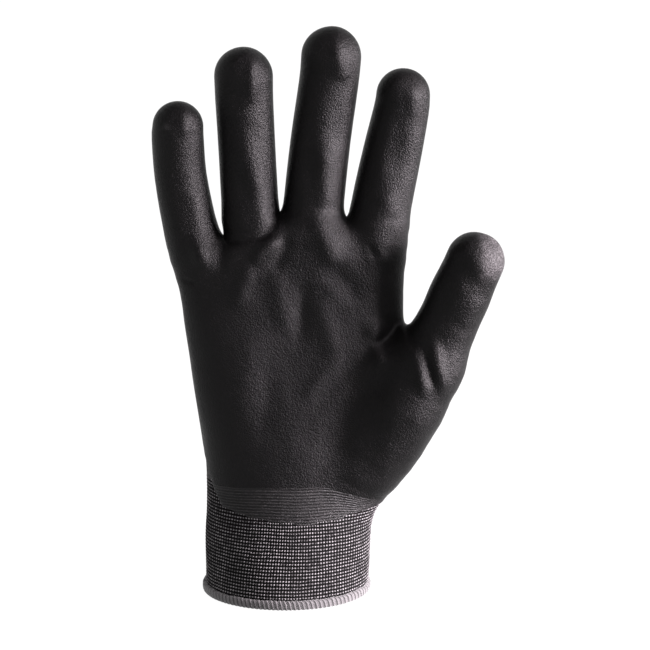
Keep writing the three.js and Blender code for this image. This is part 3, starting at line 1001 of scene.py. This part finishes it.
# %% Rib knit finish
def rib_finish():
    paint = Paint("rib_knit")
    column, row = paint.stitches()
    wander = paint.noise(95.0, 2.0) - 0.5
    shaky = paint.noise(620.0, 2.0)
    fibres = paint.noise(5200.0, 2.0)
    u = (column + wander * 0.6).fraction() - 0.5
    v = (row + wander * 0.5).fraction() - 0.5
    far = (u * 2.6).power(2) + (v * 3.3).power(2)
    dot = far.ramp(0.95, 0.3) * shaky.ramp(0.34, 0.6, 0.25, 1.0)
    thread = (v * 3.4).power(2).ramp(1.0, 0.2) * 0.05
    dark = paint.mix(fibres, grey(0.0006), grey(0.0025, 0.05))
    grown = paint.mix(thread.larger(dot), dark, grey(0.15, 0.035))
    return paint.finish(
        Base_Color=grown,
        Roughness=0.92 - dot * 0.14,
        Normal=paint.bump(dot + fibres * 0.2, 0.0005, 0.8),
        Specular_IOR_Level=0.05,
    )


rib_knit = rib_finish()

# %% Knit the cuff
CUFF_LOW, CUFF_HIGH = 1.6, Z_CUFF
CUFF_WALL = 1.1
STEPS_ROUND = WALES * 4
rows_out = np.arange(CUFF_LOW, CUFF_HIGH, COURSE / 4)
rows_out = np.append(rows_out, CUFF_HIGH)
rows_in = np.linspace(CUFF_HIGH, CUFF_LOW, 26)
height = np.concatenate([rows_out, rows_in])
is_out = np.concatenate([np.ones(len(rows_out), bool), np.zeros(len(rows_in), bool)])
turn = np.arange(STEPS_ROUND) / STEPS_ROUND * 2 * math.pi - math.pi
A, Z = np.meshgrid(turn, height)
ripple = 0.22 * np.sin(A * 3 + 1) * np.sin(Z / 6) + 0.12 * np.sin(A * 7 + Z / 5)
ripple *= np.clip((40 - Z) / 8, 0, 1) * np.clip((Z - CUFF_LOW) / 4, 0, 1)
wales = 0.5 + 0.5 * np.cos(2 * math.pi * (A / (2 * math.pi) * WALES - 0.5))
courses = 0.5 + 0.5 * np.cos(2 * math.pi * (Z / COURSE - 0.5))
bead = 0.26 * (wales * courses) + 0.14 * wales - 0.25
out = np.where(is_out[:, None], ripple + bead, -CUFF_WALL + ripple)
cuff_points = wrist_point(A, Z, out)
cuff_uv = np.stack([A / (2 * math.pi) * WALES, Z / COURSE], -1).reshape(-1, 2)
cuff = add_mesh(
    "cuff_knit", cuff_points.reshape(-1, 3),
    ring_faces(len(height), STEPS_ROUND), rib_knit, uv=cuff_uv,
)
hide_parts("cuff_rib_knit")
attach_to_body(cuff, "hand")

# %% [markdown]
# ## The ribbed band of film
#
# The dip runs down over the top of the cuff and ends in a shallow arc. The film there is thin, so
# the courses of the rib show through as fine level lines, a little over a millimetre apart, and it
# shines a little more because it lies tight. It is a grid again, cut along the arc, with the lines
# in its outer face.

# %% The band
BAND_LINE = 1.18
STEP_LEVEL = 51  # near the step the lines follow it; lower down they become level
ARC_X = [-38, -33, -30, -27.4, -22.5, -10.8, 0.7, 6.2, 11.7, 22.3, 29.6, 36, 44]
ARC_Z = [60, 52, 46, 42.2, 40.2, 38.2, 36.8, 36.0, 36.2, 37.2, 39.4, 40.2, 40.4]


def band_mark(p):
    """Millimetres inside the film: above a shallow arc, inside the side line, below the step."""
    arc = np.interp(p[:, 0], ARC_X, ARC_Z) + 0.3 * np.sin(p[:, 0] / 1.9) + 0.2 * np.sin(p[:, 0])
    return np.minimum(np.minimum(p[:, 2] - arc, side_line(p) - p[:, 1]), 0.6 - above_step(p))


band_turn = np.linspace(-math.pi - 0.15, 0.15, 300)
band_rows = np.arange(34.5, 53.2, BAND_LINE / 6)
A, Z = np.meshgrid(band_turn, band_rows)
flat = wrist_point(A, Z).reshape(-1, 3)
n = len(band_turn)
i, j = np.meshgrid(np.arange(len(band_rows) - 1), np.arange(n - 1), indexing="ij")
a = (i * n + j).ravel()
band_grid = halves(np.stack([a, a + 1, a + n + 1, a + n], 1))
band, band_faces = keep(flat, band_grid, band_mark(flat))
depth = band_mark(band)
out_way = unit(outward(band))
below = -above_step(band)
step = band[:, 2] + below
course = band[:, 2] - (step - STEP_LEVEL) * (1 - np.clip(below / 14, 0, 1))
line = 0.5 + 0.5 * np.cos(2 * math.pi * (course + 0.2 * np.sin(band[:, 0] / 6)) / BAND_LINE)
fade = np.clip(0.45 + below / 3, 0, 1)
thick = 0.12 + 0.42 * np.clip(depth / 1.2, 0, 1) ** 0.6 - 0.36 * (1 - line) * fade
shell, faces = walled(band, band_faces, out_way, -0.25, thick)
band_piece = add_mesh(
    # the crests of the lines are painted grey by the mark: partly wear, partly a painted highlight
    # on the ridges
    "film_wrist_band", shell, faces, ribbed_skin,
    marks={"wear_and_highlight": np.tile(0.02 + 0.42 * line**3 * fade, 2)},
)
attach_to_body(band_piece, "hand")

# %% [markdown]
# ## The hem
#
# The cuff's raw edge is overlocked: a soft bulky thread wraps over it again and again, each wrap
# leaning a little. The hem is a profile, a rounded rectangle round the edge of the knit, carried
# round the wrist. A wrap is a smooth hump whose phase depends on the angle and on the distance
# along the profile, which is what makes the wraps lean.


# %% Overlock finish
def overlock_finish():
    paint = Paint("overlock_thread")
    column, row = paint.stitches()
    wrap = (column * (2 * math.pi)).cosine() * 0.5 + 0.5
    fibre_way = paint.node("ShaderNodeCombineXYZ", None, {0: column * 9.0, 1: row * 0.8, 2: 0.0})
    fibres = paint.noise(1.6, 3.0, where=fibre_way)
    uneven = paint.noise(160.0, 2.0)
    tone = paint.mix(fibres.ramp(0.25, 0.75), grey(0.036, 0.03), grey(0.10, 0.03))
    shaded = paint.mix(wrap.ramp(0.04, 0.6), grey(0.004, 0.03), tone)
    dirty = paint.mix(uneven.ramp(0.55, 0.72) * 0.35, shaded, grey(0.03))
    return paint.finish(
        Base_Color=dirty,
        Roughness=0.82,
        Normal=paint.bump(fibres * 0.6 + wrap * 0.5, 0.0003, 0.8),
        Sheen_Weight=0.3,
        Specular_IOR_Level=0.3,
    )


overlock = overlock_finish()

# %% Wrap the hem
WRAPS, STEPS_PER_WRAP, PROFILE_STEPS = 104, 8, 28
HEM_OUT, HEM_IN, HALF_TALL = 1.35, 2.3, 2.07
WRAP_RELIEF = 0.42  # how deep the thread dips between two wraps


def squared_off(c):
    """A cosine or sine raised to a power below one, which makes a circle a rounded square."""
    return np.sign(c) * np.abs(c) ** 0.6


around = WRAPS * STEPS_PER_WRAP
profile = np.linspace(0, 2 * math.pi, PROFILE_STEPS, endpoint=False)
across = squared_off(np.cos(profile))
upward = squared_off(np.sin(profile))
turn = np.arange(around) / around * 2 * math.pi - math.pi
A, K = np.meshgrid(turn, np.arange(len(profile)))
slow = 0.12 * np.sin(A * 9 + 0.6) + 0.10 * np.sin(A * 23)
jitter = np.repeat(rng.uniform(-0.16, 0.16, WRAPS), STEPS_PER_WRAP)[None, :]
phase = A / (2 * math.pi) * WRAPS + 0.85 * np.sin(profile)[:, None] * 0.5 + 0.5
wrap = np.sqrt(np.abs(np.sin(math.pi * phase)))
reach_out = (HEM_OUT + HEM_IN) / 2
relief = WRAP_RELIEF * wrap - WRAP_RELIEF
radial = (HEM_OUT - HEM_IN) / 2 + across[K] * (reach_out + relief + 0.12 * slow)
rise = HALF_TALL + upward[K] * (HALF_TALL + relief + jitter * (upward[K] > 0.3))
hem_points = wrist_point(A, rise, radial)
hem_uv = np.stack([phase, K / PROFILE_STEPS * 4], -1).reshape(-1, 2)
hem = add_mesh(
    "hem_thread", hem_points.reshape(-1, 3),
    ring_faces(len(profile), around), overlock, uv=hem_uv,
)
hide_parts("hem_overlock")
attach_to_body(hem, "hand")
print("hem from", round(float(hem_points[..., 2].min()), 2), "to",
      round(float(hem_points[..., 2].max()), 2), "mm")

# %% [markdown]
# ## The elastic
#
# The elastic yarn inside the cuff keeps its CAD shape. It is wound with a fine cover yarn, so its
# finish is a pale thread with close turns across it.


# %% Covered elastic
def elastic_finish():
    paint = Paint("covered_elastic")
    turns = paint.noise(2600.0, 2.0)
    fuzz = paint.noise(700.0, 2.0)
    colour = paint.mix(turns.ramp(0.3, 0.7), grey(0.30, 0.02), grey(0.55, 0.02))
    return paint.finish(
        Base_Color=colour,
        Roughness=0.75 + fuzz * 0.15,
        Normal=paint.bump(turns, 0.0002, 0.7),
    )


elastic = frame["nodes"]["cuff_elastic_yarn"]
elastic.data.materials.clear()
elastic.data.materials.append(elastic_finish())

# %% [markdown]
# ## The studio
#
# A pale floor that curves up into a pale wall all round, so that there is no horizon. It glows
# instead of being lit, white behind the glove and greyer in front of it, so a black glove stays
# black. A soft light on the right, level with the fingertips, draws the long highlights down the
# fingers, one high in front fills the palm, and a weak one on the left opens the shadows. The
# camera has a long lens and looks down a little at the middle of the glove.

# %% Floor
FLAT_TO, BEND, WALL_TOP, SPOKES = 1500, 700, 2600.0, 96
flat_rings = np.concatenate([[1.0], np.linspace(300, FLAT_TO, 6)])
curve = np.linspace(0, math.pi / 2, 14)[1:]
ring_radius = np.concatenate([flat_rings, FLAT_TO + BEND * np.sin(curve), [FLAT_TO + BEND]])
ring_height = np.concatenate([0 * flat_rings, BEND * (1 - np.cos(curve)), [WALL_TOP]])
T, R = np.meshgrid(np.arange(SPOKES) / SPOKES * 2 * math.pi, np.arange(len(ring_radius)))
floor_points = np.stack(
    [ring_radius[R] * np.cos(T), ring_radius[R] * np.sin(T), ring_height[R]], -1
)
floor_faces = ring_faces(len(ring_radius), SPOKES, close_rows=False)


def floor_finish():
    """Glowing paper: white behind the glove, greyer in front of it."""
    paint = Paint("studio_paper")
    _, depth = paint.apart(paint.place())
    glow = paint.mix(depth.ramp(-1.2, -0.12), grey(0.42), grey(0.98))
    return paint.finish(
        Base_Color=grey(0.04),
        Roughness=0.9,
        Specular_IOR_Level=0.1,
        Emission_Color=glow,
        Emission_Strength=1.0,
    )


floor = add_mesh("studio_floor", floor_points.reshape(-1, 3), floor_faces, floor_finish())

# %% Light and camera
def soft_light(name, place, aim, size, power):
    """A square area light at a place in millimetres, turned to face the aim."""
    data = bpy.data.lights.new(name, "AREA")
    data.shape, data.size, data.energy = "SQUARE", size * MM, power
    data.color = (1.0, 0.90, 0.955)  # a lamp a little to the magenta side
    lamp = bpy.data.objects.new(name, data)
    bpy.context.scene.collection.objects.link(lamp)
    place, aim = np.array(place, float), np.array(aim, float)
    lamp.location = Vector(place * MM)
    lamp.rotation_euler = Vector(aim - place).to_track_quat("-Z", "Y").to_euler()
    return lamp


soft_light("key", (950, -300, 260), (15, 0, 150), 400, 98)
soft_light("left_fill", (-900, -700, 300), (15, 0, 120), 600, 2.6)
soft_light("top", (520, -420, 1000), (15, 0, 150), 420, 13)
world = bpy.data.worlds.new("studio")
world.use_nodes = True
world.node_tree.nodes["Background"].inputs["Color"].default_value = (1, 1, 1, 1)
world.node_tree.nodes["Background"].inputs["Strength"].default_value = 0.10
bpy.context.scene.world = world
bpy.context.scene.view_settings.view_transform = "Standard"

ELEVATION = math.radians(10)
DISTANCE = 700
TARGET = np.array([16.8, 0.0, 118.0])
lens = bpy.data.cameras.new("camera")
lens.lens, lens.sensor_width = 90.0, 36.0
lens.clip_end = 20
camera = bpy.data.objects.new("camera", lens)
bpy.context.scene.collection.objects.link(camera)
backward = np.array([0, -math.cos(ELEVATION), math.sin(ELEVATION)])
camera.location = (TARGET + DISTANCE * backward) * MM
camera.rotation_euler = (math.pi / 2 - ELEVATION, 0, 0)
bpy.context.scene.camera = camera
print("camera at", [round(v, 3) for v in camera.location])
